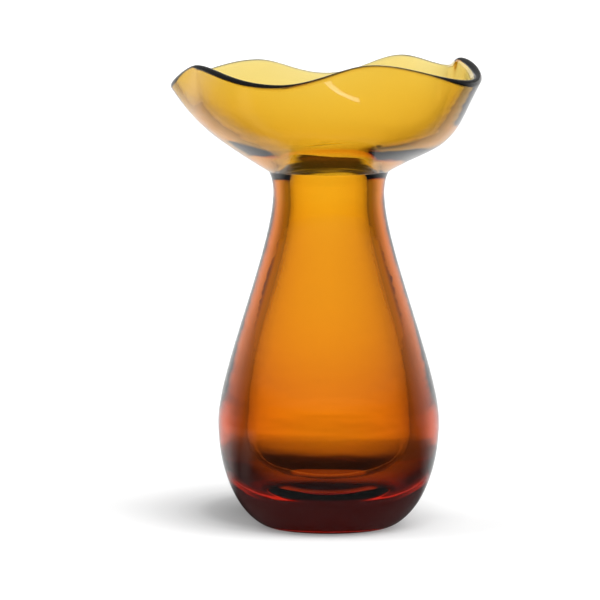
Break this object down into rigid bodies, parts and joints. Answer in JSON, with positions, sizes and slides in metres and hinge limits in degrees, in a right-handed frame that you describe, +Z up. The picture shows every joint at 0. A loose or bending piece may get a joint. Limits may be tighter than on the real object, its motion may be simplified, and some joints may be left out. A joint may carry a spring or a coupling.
{
  "type": "vase",
  "caption": "Blown amber glass vase with a heavy rounded base, a pear-shaped body, a narrow waist and a flared cup with an uneven wavy lip, for standing cut flowers in water.",
  "frame": {"origin": "centre of the round flat under the base, which rests on the table", "axes": "+Z up along the vase's turning axis, +X to the right and -Y to the front as the vase is seen from its usual side"},
  "size_m": [0.1129, 0.1109, 0.1714],
  "materials": {
    "amber_glass": "clear transparent amber, fire-polished and glossy, red-brown where it is thick"
  },
  "bodies": {
    "root": {"base": "amber_glass", "body": "amber_glass", "cup": "amber_glass"}
  },
  "joints": []
}
